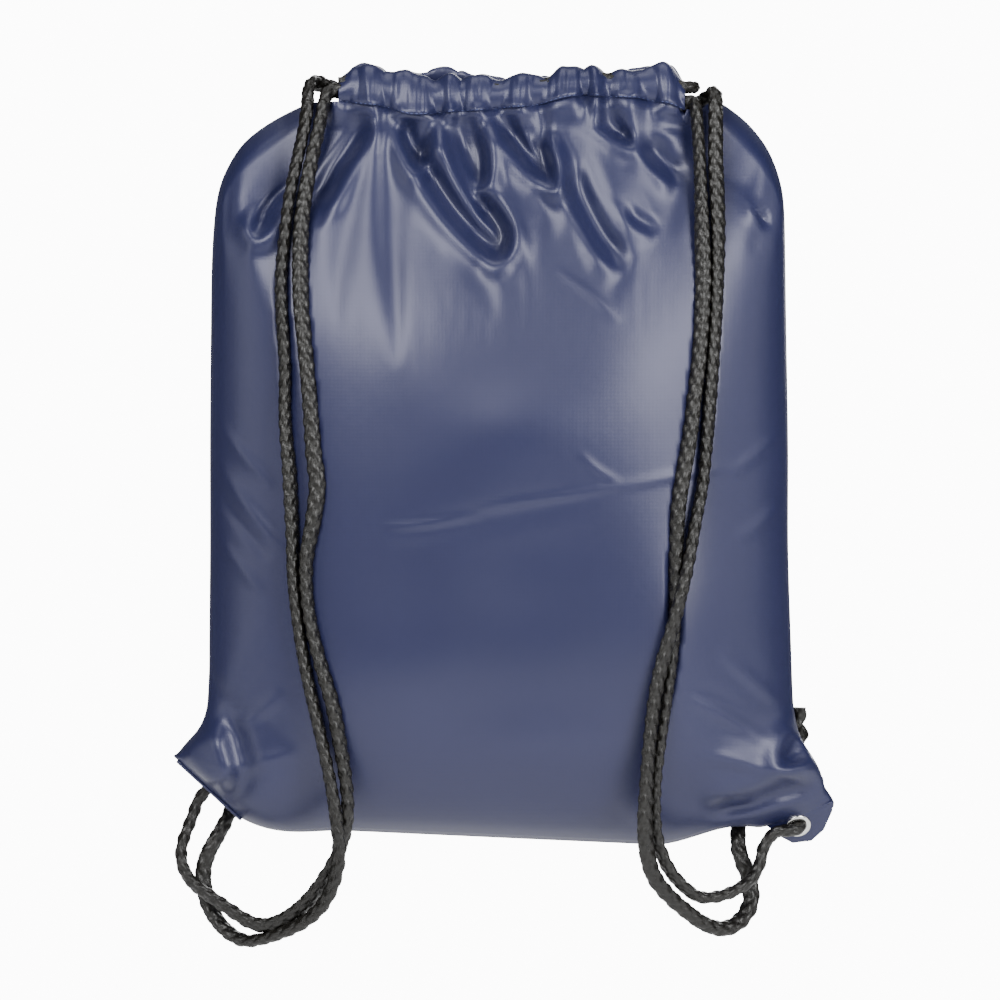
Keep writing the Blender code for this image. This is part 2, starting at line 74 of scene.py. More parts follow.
# The cloth, before it is gathered and filled
CLOTH_WIDTH = 0.344
CLOTH_HEIGHT = 0.412  # from the casing's stitching to the bottom seam
CLOTH_STEP = 0.004
CLOTH_THICKNESS = 0.0004
MOUTH_HALF = 0.012  # from the middle plane to the gathered row, at the casing's ends
MOUTH_BOW = 0.0045
GATHERS = 10
GATHER_DEPTH = 0.0045
GATHERED_SHARE = 0.93  # how much of the cloth's width the casing takes; its ends run past it
GATHERED_END = 0.008
ROW_BLEND = 0.16  # how far down the cloth starts out in line with the gathered row, as a share
SEAM_HELD = 0.110  # how far down each side seam is held firmly round its shoulder
SEAM_GUIDE = 0.5  # how strongly the rest of it is held
BOTTOM_HOLD = 0.6  # how strongly the bottom seam is held in place
BOTTOM_TILT = 0.045
SLACK = 0.014  # spare cloth between the gathers and the filled part
SLACK_END = 0.3  # where the filled part starts, as a share of the cloth's height
SEAM_GAP = 0.0003  # between the two panels in the flat shape
PRESSURE = 16
LEAST_PRESSURE = 0.12  # at the gathered row, as a share
GRAVITY_SHARE = 0.4
FRAMES = 30
START_FOLDS = 1.5  # how much of each fold is in the shape before the simulation
ADDED_FOLDS = 0.7  # how much is added after it
SEAM_CREASE = 0.55

# The gathered hem
HEM_START, HEM_END = 0.035, 0.965  # shares of the cloth's width
HEM_COLUMNS, HEM_AROUND = 300, 24
HEM_DEEP = 0.0040
HEM_TUCK = 0.0045  # how far its top leans in
HEM_RUFFLE = 0.0058
HEM_CLEAR = 0.0034
STITCH_COUNT = 74
STITCH_RADIUS = 0.00022

BRAID_REPEAT = 0.0082
STRANDS_EACH_WAY = 4
STRAND_CROWN = 0.0010
STRAND_LIFT = 0.0007
CORD_CLEAR = 0.0036  # from a cord's middle to the cloth it lies on
CORD_REACH = 0.011
UPPER_LANE = -0.0066
LOWER_LANE = -0.0134
CASING_LANE = 0.0024  # each cord's own height above or below the hem's middle
CASING_CORD_SIZE = 0.6  # squeezed by the gathers

# Eyelets: inner and outer radius, the flap's face and the flange's crown
BORE, RIM, FACE, CROWN = 0.0038, 0.0067, 0.0007, 0.0019
CLINCHED = 0.0055
HOLE_RADIUS = 0.0045
HOLE_REACH = 0.003
PATCH_HOLE = 4.7  # millimetres

# Studio
CAMERA_DISTANCE = 4.0
VIEW_WIDTH = 0.5208
VIEW_MIDDLE = -0.2198
FLOOR_HEIGHT = -0.75
FLOOR_RADIUS = 2.2
FLOOR_SIDES = 96


def millimetres(*points):
    return [Vector(point) / 1000 for point in points]


# Where the casing's stitched edge and top edge run, as (x, z) in millimetres.
STITCHED_EDGE = [
    (-110, -12), (-84, -13), (-65, -15), (-44, -20), (-15, -18), (10, -16), (42, -10),
    (70, -11), (84, -13.5), (98, -17), (120, -17),
]
TOP_EDGE = [
    (-90, 1), (-78, 5), (-66, 5.5), (-52, 2), (-36, 0), (0, -0.5), (14, 1), (24, 0), (33, 4.5),
    (47, 5), (58, 2), (70, 4), (84, 6.5), (98, 2),
]

# Each side seam's way over its shoulder, as (x, z) in millimetres.
SHOULDERS = {
    -1: [
        (-92, -11), (-104, -14), (-120, -22), (-133, -32), (-141.5, -44), (-146.5, -56),
        (-149, -71), (-150.5, -95), (-151, -130), (-151.5, -190), (-151.5, -250),
        (-152.5, -310), (-156, -336), (-170, -354),
    ],
    1: [
        (107, -9), (117, -13), (129, -22), (138, -33), (143.5, -44), (147, -55), (148.5, -69),
        (149, -95), (149.5, -130), (150.5, -190), (150.5, -250), (153, -310), (157, -345),
        (172, -374),
    ],
}

# Folds that hang from the gathers: each is its crest's path in (x, z), its half width, how far the
# crest stands out and how deep the cloth falls away on the path's left, in millimetres.
FRONT_FOLDS = [
    (
        [
            (-60, -28), (-48, -45), (-31, -71), (-16, -88), (-3, -97), (6, -92), (8, -79),
            (1, -66), (-5, -58),
        ],
        4.0, 2.6, 4.6,
    ),
    ([(-31, -24), (-28, -44), (-22, -59), (-12, -75), (-6, -84)], 3.4, 2.2, 3.0),
    (
        [(-26, -22), (-22, -40), (-16, -54), (-10, -59), (-5, -54), (-5, -40), (-12, -20)],
        3.2, 2.4, 3.6,
    ),
    ([(-54, -18), (-52, -33), (-46, -46), (-41, -49), (-36, -41), (-33, -27)], 3.0, 2.0, 3.2),
    ([(-98, -75), (-87, -64), (-78, -48), (-67, -30), (-59, -17)], 4.0, 2.4, 4.0),
    ([(-80, -20), (-72, -24), (-62, -22)], 4.0, 1.5, 3.0),
    (
        [(-99, -37), (-113, -50), (-124, -64), (-130, -76), (-127, -85), (-119, -80), (-111, -69)],
        3.6, 2.2, 4.0,
    ),
    ([(-95, -30), (-107, -36), (-120, -47), (-130, -59), (-140, -72)], 3.6, 2.2, 3.0),
    ([(-100, -22), (-117, -26), (-131, -35)], 3.2, 1.6, 2.4),
    (
        [
            (-10, -17), (-3, -28), (8, -43), (18, -53), (29, -58), (31, -53), (29, -41),
            (24, -28), (18, -17),
        ],
        3.6, 2.6, 4.2,
    ),
    ([(9, -15), (17, -24), (20, -36)], 3.0, 1.8, 2.4),
    (
        [(27, -13), (42, -20), (55, -30), (66, -37), (70, -33), (66, -25), (55, -17), (46, -12)],
        3.2, 2.3, 3.6,
    ),
    ([(62, -15), (81, -25), (99, -32)], 3.2, 2.0, 2.8),
    ([(73, -12), (88, -19), (102, -27)], 2.8, 1.8, 2.4),
    ([(29, -41), (32, -58), (39, -74), (47, -88), (55, -97), (64, -104)], 4.2, 2.0, 2.8),
    ([(70, -38), (80, -49), (92, -58)], 4.0, 1.6, 2.2),
    ([(62, -70), (68, -78), (81, -84)], 2.6, 0.9, 1.2),
    ([(113, -18), (122, -28), (133, -40), (146, -52)], 3.4, 2.2, 3.0),
    ([(115, -33), (122, -48), (130, -62), (133, -69), (134, -60), (127, -44)], 3.2, 2.0, 3.4),
    ([(-149, -330), (-146, -346), (-142, -361), (-150, -368), (-162, -362)], 5.0, 1.5, 3.6),
    ([(168, -360), (144, -364), (116, -373), (104, -378)], 4.0, 2.2, 3.6),
    ([(160, -332), (148, -344), (144, -357), (153, -359), (167, -351)], 3.2, 1.8, 3.0),
]
# The back gathers much as the front does, the other way round.
BACK_FOLDS = [([(14 - x, z * 0.93) for x, z in reversed(way)], *rest) for way, *rest in FRONT_FOLDS]

# Bulges and hollows: middle (x, z), half sizes and rise, in millimetres.
FRONT_LUMPS = [
    ((-42, -131), (42, 45), 3.0),
    ((62, -157), (38, 40), 2.6),
    ((14, -252), (46, 34), -5.0),
    ((-52, -312), (40, 40), 4.0),
    ((96, -286), (28, 45), 4.0),
    ((12, -350), (55, 18), 3.0),
    ((-120, -200), (22, 60), -1.8),
    ((128, -210), (18, 50), -1.6),
    ((14, -182), (34, 22), 2.5),
]
BACK_LUMPS = [
    ((30, -150), (45, 40), 2.6),
    ((-60, -210), (40, 50), 2.2),
    ((10, -270), (45, 34), -2.8),
    ((70, -320), (38, 36), 2.2),
    ((-70, -335), (40, 30), 1.8),
]
# Long soft creases: ends as (x, z), width and rise, in millimetres.
FRONT_CREASES = [
    ((-60, -234), (-8, -228), 2.2, 0.9),
    ((-12, -226), (60, -212), 1.8, 1.1),
    ((48, -214), (122, -203), 2.4, 0.8),
    ((-60, -238), (50, -219), 7.0, -1.0),
    ((40, -196), (62, -212), 1.8, 0.7),
    ((-148, -178), (-118, -214), 3.0, 1.4),
    ((-149, -200), (-112, -246), 3.5, 1.6),
    ((-148, -236), (-124, -268), 3.0, 1.1),
    ((-147, -214), (-120, -252), 3.0, -1.3),
    ((148, -186), (118, -206), 3.0, 1.2),
    ((149, -222), (122, -240), 3.5, 1.2),
    ((140, -345), (96, -322), 4.0, 1.6),
    ((146, -360), (100, -352), 4.0, 1.6),
    ((150, -330), (112, -296), 4.0, 1.4),
    ((-150, -350), (-112, -318), 4.0, 1.6),
    ((-146, -362), (-104, -350), 4.0, 1.4),
    ((30, -100), (62, -128), 2.5, 0.9),
]
BACK_CREASES = [
    ((-70, -190), (40, -215), 6.5, 0.9),
    ((20, -300), (110, -280), 7.5, 0.8),
    ((-148, -210), (-116, -236), 3.0, 1.3),
    ((148, -190), (112, -222), 3.0, 1.3),
    ((146, -360), (102, -334), 4.0, 1.5),
    ((-146, -360), (-104, -336), 4.0, 1.5),
]

# Cord routes, in millimetres, the same points as the part's.
LEFT_OUTER_STRAND = millimetres(
    (-100, -11.3, -14.3), (-101.6, -14.8, -27), (-105, -19.4, -43), (-109, -24.2, -63),
    (-111.5, -28.2, -84), (-113.2, -31.5, -105), (-112.6, -34.9, -126), (-111, -38.2, -150),
    (-110.8, -41, -178), (-108.5, -43.6, -205), (-107, -45, -235), (-106.3, -45.3, -262),
    (-103, -45.5, -290), (-99, -45.6, -312), (-94.5, -45.6, -332), (-90, -45.4, -352),
    (-86.5, -44.9, -370), (-84.3, -44.3, -385), (-83, -43.3, -397), (-83.4, -41.5, -407),
    (-86.5, -38, -419), (-92.5, -33, -430), (-102, -26.5, -438.5), (-113, -19.5, -444),
    (-123, -12.5, -447.5), (-132, -6, -449), (-140, 0, -446), (-147, 4.5, -439.5),
    (-152, 7.5, -431), (-154.5, 9, -421.5), (-154.6, 9.6, -411.5), (-152, 9.7, -403.5),
)
LEFT_INNER_STRAND = millimetres(
    (-91.5, -12.3, -14.5), (-94, -15.8, -27), (-97.4, -21, -43), (-101, -26.3, -63),
    (-103, -31, -84), (-102.8, -36.6, -115), (-100.5, -41.2, -140), (-98, -45, -168),
    (-96, -47.6, -195), (-94, -49.2, -212), (-96, -49.3, -230), (-99.6, -48.2, -251),
    (-98.8, -47.6, -275), (-93.5, -47.8, -300), (-86.5, -46.8, -324), (-82.5, -45, -345),
    (-79.4, -42.5, -365), (-78.6, -39.8, -380), (-80.3, -36.6, -393), (-84.5, -34, -404),
    (-90, -30.8, -414), (-96.8, -27, -424), (-105, -22.5, -432.5), (-114.5, -18, -438.5),
    (-123, -14, -440.5), (-131, -10, -438.5), (-141, -5, -432.5), (-151, -0.5, -426),
    (-160, 3.5, -419.5), (-165.2, 6, -411.5), (-166.4, 7.5, -403.5), (-165.6, 8, -399),
)
RIGHT_OUTER_STRAND = millimetres(
    (112, -10.8, -14.5), (112, -14.5, -28), (111.8, -18.5, -43), (112.5, -23, -63),
    (113, -27.5, -84), (112.5, -31.5, -105), (111.5, -35, -126), (109.8, -38.5, -150),
    (107.5, -42, -180), (104.7, -45.5, -209), (100.5, -49.6, -232), (96.6, -53.2, -254),
    (92.5, -55, -271), (88.5, -54.8, -286), (83.5, -53.6, -303), (79.5, -53, -322),
    (76.8, -51.5, -345), (75.2, -49.3, -368), (74.6, -46.5, -388), (76, -42.5, -403),
    (80, -37.5, -415), (88, -31, -425), (97, -24.5, -433), (106, -17.5, -439.5),
    (115.5, -10, -442.5), (124, -3, -439.5), (129.8, 2.5, -432), (131, 5.6, -424.5),
    (129.6, 7.6, -416), (126.6, 8.6, -408.5), (124.9, 9, -403.2),
)
RIGHT_INNER_STRAND = millimetres(
    (102.1, -11.3, -18.8), (102.8, -15.3, -30), (103.4, -19.7, -43), (104, -24.9, -63),
    (104.5, -29.5, -84), (105, -33.5, -105), (104.2, -37.3, -126), (102.6, -40.9, -147),
    (100, -44, -168), (97.4, -46.6, -189), (92.2, -49.4, -220), (90.6, -49.5, -245),
    (90.2, -49.1, -265), (89.8, -48.4, -285), (88.3, -47.3, -303), (85.4, -46.8, -324),
    (82, -45.5, -347), (79.6, -43.3, -368), (79.8, -40.3, -388), (82.5, -37.5, -400),
    (88, -33, -411.5), (96, -27.5, -420.5), (104, -22, -425.5), (115, -16, -425),
    (125, -10.5, -421), (131.5, -6, -416), (135, -3.2, -409.5), (136.4, -1.8, -404),
)
LEFT_FRONT_EXIT = millimetres((-91.3, -12, -13.6), (-90.5, -11, -10.3), (-88.3, -8.9, -7.6))
LEFT_BACK_EXIT = millimetres(
    (-91, 5.5, -4), (-96, 0.5, -2.5), (-98.8, -5.5, -4), (-99.8, -9.8, -8.6),
    (-99.95, -11, -13.3),
)
RIGHT_FRONT_EXIT = millimetres((101.9, -10.7, -17.4), (101.2, -9.3, -14.8), (99.5, -7.3, -13.4))
RIGHT_BACK_EXIT = millimetres(
    (102, 7.2, -13.3), (107.5, 6, -11), (110.6, 1.5, -8.6), (111.8, -4, -8), (112, -8.6, -9.8),
    (112, -10.4, -13.2),
)
LEFT_EYELET_LEAD = millimetres(
    (-165.3, 8.2, -397.5), (-163, 10.5, -391), (-160.3, 12.3, -384), (-158, 13.2, -377.5),
    (-155, 12.9, -373.1), (-151.6, 12.5, -369.4), (-148.2, 12.1, -365.7),
    (-145.5, 14.5, -361.5), (-143, 18.5, -358),
)
LEFT_BACK_LEAD = millimetres(
    (-151.4, 9.9, -402.1), (-146.8, 12.3, -394), (-143, 16, -387), (-140, 20.5, -379),
    (-138.7, 24, -370), (-138.6, 26, -361.5),
)
RIGHT_EYELET_LEAD = millimetres(
    (136.9, -1.6, -401.6), (139.5, -1.2, -396.8), (142.3, -1.2, -393.8), (146, -1.6, -392.1),
    (150.6, -1.3, -391.9), (154.1, 0.1, -391.8), (155.4, 3.1, -390.1), (155, 6.2, -388.1),
    (154.4, 9.1, -386.2), (153.6, 12.2, -382.5), (152.6, 15.5, -376), (151.8, 17.3, -367),
    (151.3, 18, -358),
)
RIGHT_BACK_LEAD = millimetres(
    (124.6, 9.6, -401.7), (124.3, 12, -394), (125.5, 16.5, -386), (129, 20, -376),
    (135, 22.5, -366), (141.5, 22.5, -357), (146.2, 20.8, -351),
)
KNOTS = {
    "left": (
        Vector((-0.1395, 0.0265, -0.3500)),
        millimetres((-134, 29, -337), (-146.5, 27, -337.5)),
    ),
    "right": (
        Vector((0.1510, 0.0190, -0.3430)),
        millimetres((156.5, 21, -328.5), (147, 23, -328.5)),
    ),
}

# Each bottom corner folds back along a line from its ear's tip. "tip", "end" and "corner" are the
# ends of that fold and the cloth's own corner, as distances (mm) along the fold and down the flap.
CORNERS = {
    -1: {
        "origin": Vector((-0.170, 0, -0.354)),
        "along": Vector((0.736, 0, -0.677)).normalized(),
        "outward": Vector((-0.677, 0, -0.736)).normalized(),
        "fold_angle": math.radians(95),
        "tip": (-3.5, 0),
        "end": (48, 0),
        "corner": (24, 26),
        "leg": 0.034,
        "eyelet": (24, 12.5),
        "flap": [(2, 0), (4, 8), (10, 17), (18, 21.5), (30, 21), (40, 12), (46, 5), (48, 0)],
    },
    1: {
        "origin": Vector((0.128, 0, -0.3913)),
        "along": Vector((0.95, 0, 0.312)).normalized(),
        "outward": Vector((0.312, 0, -0.95)).normalized(),
        "fold_angle": math.radians(35),
        "tip": (52, 0),
        "end": (11, 0),
        "corner": (29, 21),
        "leg": 0.027,
        "eyelet": (26.7, 8),
        "flap": [(10, 0), (15.5, 11), (21, 18), (31, 20.5), (39, 16), (46, 6), (48, 0)],
    },
}


# Materials


def set_inputs(node, **inputs):
    for key, value in inputs.items():
        node.inputs[key.replace("_", " ")].default_value = value
    return node


def nodes_of(name, **inputs):
    """A new material, its nodes, and its shader with these values on its own sockets."""
    made = bpy.data.materials.new(name)
    made.use_nodes = True
    nodes = made.node_tree.nodes
    return made, nodes, set_inputs(nodes["Principled BSDF"], **inputs)


def add_node(nodes, kind, **inputs):
    return set_inputs(nodes.new(kind), **inputs)


def link(source, out, target, into):
    source.id_data.links.new(source.outputs[out], target.inputs[into])


def nylon():
    made, nodes, shader = nodes_of(
        "nylon",
        Roughness=0.38,
        Specular_IOR_Level=0.62,
        Specular_Tint=(0.86, 0.86, 1, 1),
        Sheen_Weight=0.05,
        Sheen_Roughness=0.35,
        Sheen_Tint=(0.75, 0.78, 1, 1),
    )
    place = nodes.new("ShaderNodeTexCoord")
    cloudy = add_node(nodes, "ShaderNodeTexNoise", Scale=9, Detail=3)
    link(place, "Object", cloudy, "Vector")
    tint = nodes.new("ShaderNodeMix")
    tint.data_type = "RGBA"
    set_inputs(tint, A=(0.0088, 0.0108, 0.042, 1), B=(0.0145, 0.0172, 0.059, 1))
    link(cloudy, "Fac", tint, "Factor")
    link(tint, "Result", shader, "Base Color")
    # Plain weave: warp and weft ribs at 0.35 mm, and slight unevenness from thread to thread.
    weave = nodes.new("ShaderNodeMath")
    weave.operation = "MULTIPLY"
    for number, direction in enumerate(("X", "Z")):
        rib = add_node(nodes, "ShaderNodeTexWave", Scale=450, Distortion=0.6, Detail=1)
        rib.bands_direction = direction
        link(place, "Object", rib, "Vector")
        link(rib, "Fac", weave, number)
    soft = add_node(nodes, "ShaderNodeTexNoise", Scale=60, Detail=4)
    link(place, "Object", soft, "Vector")
    fine = add_node(nodes, "ShaderNodeBump", Strength=0.22, Distance=0.0001)
    link(weave, "Value", fine, "Height")
    broad = add_node(nodes, "ShaderNodeBump", Strength=0.25, Distance=0.0004)
    link(soft, "Fac", broad, "Height")
    link(fine, "Normal", broad, "Normal")
    link(broad, "Normal", shader, "Normal")
    return made


def braid_material():
    made, nodes, shader = nodes_of("cord", Roughness=0.33, Specular_IOR_Level=0.45)
    along = nodes.new("ShaderNodeAttribute")
    along.attribute_name = "fibre"
    streaks = add_node(nodes, "ShaderNodeTexNoise", Scale=1, Detail=2)
    link(along, "Vector", streaks, "Vector")
    ramp = nodes.new("ShaderNodeValToRGB")
    dark, light = ramp.color_ramp.elements
    dark.position, dark.color = 0.35, (0.0008, 0.0007, 0.0006, 1)
    light.position, light.color = 0.75, (0.012, 0.0105, 0.008, 1)
    link(streaks, "Fac", ramp, "Fac")
    link(ramp, "Color", shader, "Base Color")
    bump = add_node(nodes, "ShaderNodeBump", Strength=0.5, Distance=0.0003)
    link(streaks, "Fac", bump, "Height")
    link(bump, "Normal", shader, "Normal")
    return made


def nickel_material():
    made, nodes, shader = nodes_of("nickel", Metallic=1, Base_Color=(0.76, 0.75, 0.72, 1))
    place = nodes.new("ShaderNodeTexCoord")
    worn = add_node(nodes, "ShaderNodeTexNoise", Scale=500, Detail=3)
    link(place, "Object", worn, "Vector")
    spread = add_node(nodes, "ShaderNodeMapRange", To_Min=0.12, To_Max=0.3)
    link(worn, "Fac", spread, "Value")
    link(spread, "Result", shader, "Roughness")
    return made


def thread_material():
    made, nodes, shader = nodes_of("thread", Roughness=0.55, Base_Color=(0.060, 0.078, 0.190, 1))
    place = nodes.new("ShaderNodeTexCoord")
    twist = add_node(nodes, "ShaderNodeTexWave", Scale=900)
    twist.bands_direction = "DIAGONAL"
    link(place, "Object", twist, "Vector")
    bump = add_node(nodes, "ShaderNodeBump", Strength=0.4, Distance=0.0001)
    link(twist, "Fac", bump, "Height")
    link(bump, "Normal", shader, "Normal")
    return made


# Meshes


def add_mesh(name, points, faces, finish):
    mesh = bpy.data.meshes.new(name)
    mesh.from_pydata([tuple(p) for p in points], [], [tuple(f) for f in faces])
    mesh.materials.append(finish)
    mesh.shade_smooth()
    mesh.update()
    obj = bpy.data.objects.new(name, mesh)
    bpy.context.scene.collection.objects.link(obj)
    return obj


def apply_modifiers(obj):
    """Replaces the mesh with the shape its modifiers give it."""
    graph = bpy.context.evaluated_depsgraph_get()
    mesh = bpy.data.meshes.new_from_object(obj.evaluated_get(graph))
    obj.modifiers.clear()
    obj.shape_key_clear()
    obj.data = mesh


def thicken(obj):
    """Gives a sheet its thickness, inwards from the faces it has."""
    thick = obj.modifiers.new("thickness", "SOLIDIFY")
    thick.thickness = CLOTH_THICKNESS
    thick.offset = -1
    apply_modifiers(obj)


def ring_faces(rings, size, closed):
    """Quads from each ring of points to the next, and from the last to the first if closed."""
    faces = []
    for k in range(rings if closed else rings - 1):
        here, there = k * size, (k + 1) % rings * size
        for i in range(size):
            j = (i + 1) % size
            faces.append((here + i, here + j, there + j, there + i))
    return faces


def turned_round(faces):
    """The same quads facing the other way."""
    return [(a, d, c, b) for a, b, c, d in faces]


def on_bag(obj, slot, *replaced):
    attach(obj, "bag")
    if replaced:
        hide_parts(*replaced)


def curve_between(table, x):
    """Reads a smooth curve through a table of (x, z), all in millimetres but the argument."""
    x *= 1000
    if x <= table[0][0]:
        return table[0][1] / 1000
    for (a, za), (b, zb) in zip(table, table[1:]):
        if x <= b:
            t = (x - a) / (b - a)
            return (za + (zb - za) * t * t * (3 - 2 * t)) / 1000
    return table[-1][1] / 1000


# Cords


def smooth_route(route, step):
    """Evenly spaced points on a smooth curve through the route's own points."""
    ends = [2 * route[0] - route[1], *route, 2 * route[-1] - route[-2]]
    fine = []
    for a, b, c, d in zip(ends, ends[1:], ends[2:], ends[3:]):
        for k in range(16):
            t = k / 16
            bend, twist = 2 * a - 5 * b + 4 * c - d, 3 * b - a - 3 * c + d
            fine.append(0.5 * (2 * b + (c - a) * t + bend * t * t + twist * t**3))
    fine.append(route[-1])
    points = np.array(fine)
    steps = np.linalg.norm(np.diff(points, axis=0), axis=1)
    lengths = np.concatenate([[0], np.cumsum(steps)])
    wanted = np.linspace(0, lengths[-1], max(2, round(lengths[-1] / step) + 1))
    even = np.stack([np.interp(wanted, lengths, points[:, k]) for k in range(3)], axis=1)
    return even, lengths[-1]


def carried_frames(points, closed=False):
    """Two unit vectors across the path at each point, carried along it without twist."""
    tangents = np.gradient(points, axis=0)
    if closed:
        tangents = np.roll(points, -1, axis=0) - np.roll(points, 1, axis=0)
    tangents /= np.linalg.norm(tangents, axis=1)[:, None]
    normal = np.array([0.0, -1.0, 0.0])
    first, second = [], []
    for tangent in tangents:
        normal = normal - tangent * normal.dot(tangent)
        normal /= np.linalg.norm(normal)
        first.append(np.cross(tangent, normal))
        second.append(normal.copy())
    return np.array(first), np.array(second)


def braid(name, route, finish, step=0.0007, around=28, closed=False, seed=0, size=1.0):
    """A flattened eight-strand braid: four strands wind each way and pass over and under."""
    points, length = smooth_route(route, step)
    if closed:
        points = points[:-1]
    across, up = carried_frames(points, closed)
    count = len(points)
    along = np.linspace(0, length, count, endpoint=not closed)
    turn = 0.45 * np.sin(along / 0.055 + seed * 1.7) + 0.25 * np.sin(along / 0.021 + seed)
    if closed:
        turn = np.zeros(count)
    across, up = (
        across * np.cos(turn)[:, None] + up * np.sin(turn)[:, None],
        up * np.cos(turn)[:, None] - across * np.sin(turn)[:, None],
    )
    repeat = length / round(length / BRAID_REPEAT) if closed else BRAID_REPEAT
    angle = np.arange(around) * 2 * np.pi / around
    right = STRANDS_EACH_WAY * angle[None, :] / (2 * np.pi) - along[:, None] / repeat
    left = STRANDS_EACH_WAY * angle[None, :] / (2 * np.pi) + along[:, None] / repeat
    heights = []
    for own, other, sign in ((right, left, 1), (left, right, -1)):
        index = np.floor(own)
        crown = np.sqrt(np.clip(1 - (2 * (own - index) - 1) ** 2, 0, 1))
        lift = sign * np.sin(np.pi * other + np.pi * index)
        heights.append(STRAND_CROWN * crown**0.7 + STRAND_LIFT * lift)
    height = np.maximum(*heights)
    rough = np.random.default_rng(seed + 5).normal(0, 0.000022, height.shape)
    wide = size * (0.0028 + 0.0002 * np.sin(along / 0.017 + seed)[:, None]) + height + rough
    thick = size * 0.0017 + height + rough
    ring = (
        points[:, None, :]
        + across[:, None, :] * (np.cos(angle)[None, :] * wide)[:, :, None]
        + up[:, None, :] * (np.sin(angle)[None, :] * thick)[:, :, None]
    )
    faces = ring_faces(count, around, closed)
    if not closed:
        faces.append(tuple(reversed(range(around))))
        faces.append(tuple((count - 1) * around + i for i in range(around)))
    obj = add_mesh(name, ring.reshape(-1, 3), faces, finish)
    on_right = heights[0] > heights[1]
    own = np.where(on_right, right, left)
    other = np.where(on_right, left, right)
    fibre = np.stack([own * 14, other * 0.9, np.where(on_right, 0.0, 7.0)], axis=2)
    attribute = obj.data.attributes.new("fibre", "FLOAT_VECTOR", "POINT")
    attribute.data.foreach_set("vector", fibre.reshape(-1).astype(np.float32))
    return obj, points, length


def casing_line(x):
    share = (x - CASING_MIDDLE) / CASING_HALF
    return CASING_CORD + CASING_BOW * max(0.0, 1 - share * share)


def casing_loop(offset, from_right):
    """A cord's way along one hem, round the far end and back along the other hem."""
    direction = -1 if from_right else 1
    near = CASING_MIDDLE - direction * CASING_HALF
    far = CASING_MIDDLE + direction * CASING_HALF
    turn = casing_line(far)

    def place(x, y):
        x = min(max(x, CASING_MIDDLE - CASING_HALF), CASING_MIDDLE + CASING_HALF)
        middle = (curve_between(STITCHED_EDGE, x) + curve_between(TOP_EDGE, x)) / 2
        return Vector((x, y, middle + offset))

    straight = [near + (far - near) * k / 12 for k in range(13)]
    front = [place(x, -casing_line(x)) for x in straight]
    back = [place(x, casing_line(x)) for x in reversed(straight)]
    bend = []
    for degrees in (30, 60, 90, 120, 150):
        angle = math.radians(degrees)
        point = place(far, -turn * math.cos(angle))
        point.x += direction * turn * math.sin(angle)
        bend.append(point)
    return front + bend + back


def knot(side, finish):
    """An overhand knot tied in both cord ends, with the two tails standing out of it."""
    centre, ends = KNOTS[side]
    lean = Matrix.Rotation(0.5 if side == "right" else -0.4, 3, "Y")
    route = []
    for k in range(25):
        t = 2 * math.pi * k / 24
        x = math.sin(t) + 2 * math.sin(2 * t)
        z = math.cos(t) - 2 * math.cos(2 * t)
        route.append(centre + lean @ Vector((x * 0.0021, -math.sin(3 * t) * 0.0030, z * 0.0026)))
    lump, _, _ = braid(f"{side}_cord_knot_lump", route, finish, around=20, closed=True, size=0.8)
    on_bag(lump, "cord", f"{side}_cord_knot")
    for k, end in enumerate(ends):
        way = end - centre
        bow = Vector((0.0015 * (-1) ** k, 0.001, 0))
        route = [centre, centre + way * 0.35 + bow, centre + way * 0.7 + bow, end]
        tail, _, _ = braid(f"{side}_cord_tail_{k + 1}", route, finish, around=20, seed=k, size=0.85)
        on_bag(tail, "cord")
    return lump


# The bag's cloth


def half_width(drop):
    body = TOP_HALF + (BASE_HALF - TOP_HALF) * min(drop / FLARE_DROP, 1)
    if drop < SHOULDER_DROP:
        rise = 1 - drop / SHOULDER_DROP
        return NECK_HALF + (body - NECK_HALF) * math.sqrt(1 - rise * rise)
    return body


def half_depth(drop):
    if drop < FULL_DROP:
        share = max(0.0, drop - FILLING_DROP) / (FULL_DROP - FILLING_DROP)
        return NECK_DEPTH + (FULL_DEPTH - NECK_DEPTH) * math.sin(math.pi / 2 * share) ** 0.8
    share = min(1.0, (drop - FULL_DROP) / (BOTTOM_DROP - FULL_DROP))
    return FULL_DEPTH * math.sqrt(1 - share**2.4)


def gather(u, face):
    """The gathers' phase at a place across the cloth, uneven as in real shirring."""
    warp = 0.018 * math.sin(2 * math.pi * u * 2.7 + (0 if face < 0 else 2))
    warp += 0.011 * math.sin(2 * math.pi * u * 5.3 + 1)
    return 2 * math.pi * (u + warp) * GATHERS + (0 if face < 0 else 0.8)


def gathered_row(u, face):
    """Where the casing's stitched row holds the cloth: u runs across it from 0 to 1."""
    t = 2 * u - 1
    x = CASING_MIDDLE + CASING_HALF * max(-1, min(1, t / GATHERED_SHARE))
    past = (abs(t) - GATHERED_SHARE) / (1 - GATHERED_SHARE)
    if past > 0:
        x += math.copysign(past * GATHERED_END, t)
    share = (x - CASING_MIDDLE) / CASING_HALF
    y = MOUTH_HALF + MOUTH_BOW * max(0, 1 - share * share)
    depth = GATHER_DEPTH * (0.7 + 0.3 * math.sin(2 * math.pi * u * 7.3 + (face + 1) / 2))
    y += depth * math.sin(gather(u, face)) * min(1, max(0, (1 - abs(t)) / 0.12))
    y *= max(0.0, min(1.0, (1 - abs(t)) / 0.05)) ** 0.7
    return Vector((x, face * y, curve_between(STITCHED_EDGE, x)))


def shoulder_line(side):
    """Evenly spaced points down one side's seam, with their distances along it."""
    route = [Vector((x / 1000, 0, z / 1000)) for x, z in SHOULDERS[side]]
    points, length = smooth_route(route, 0.002)
    return points[:, [0, 2]], np.linspace(0, length, len(points))


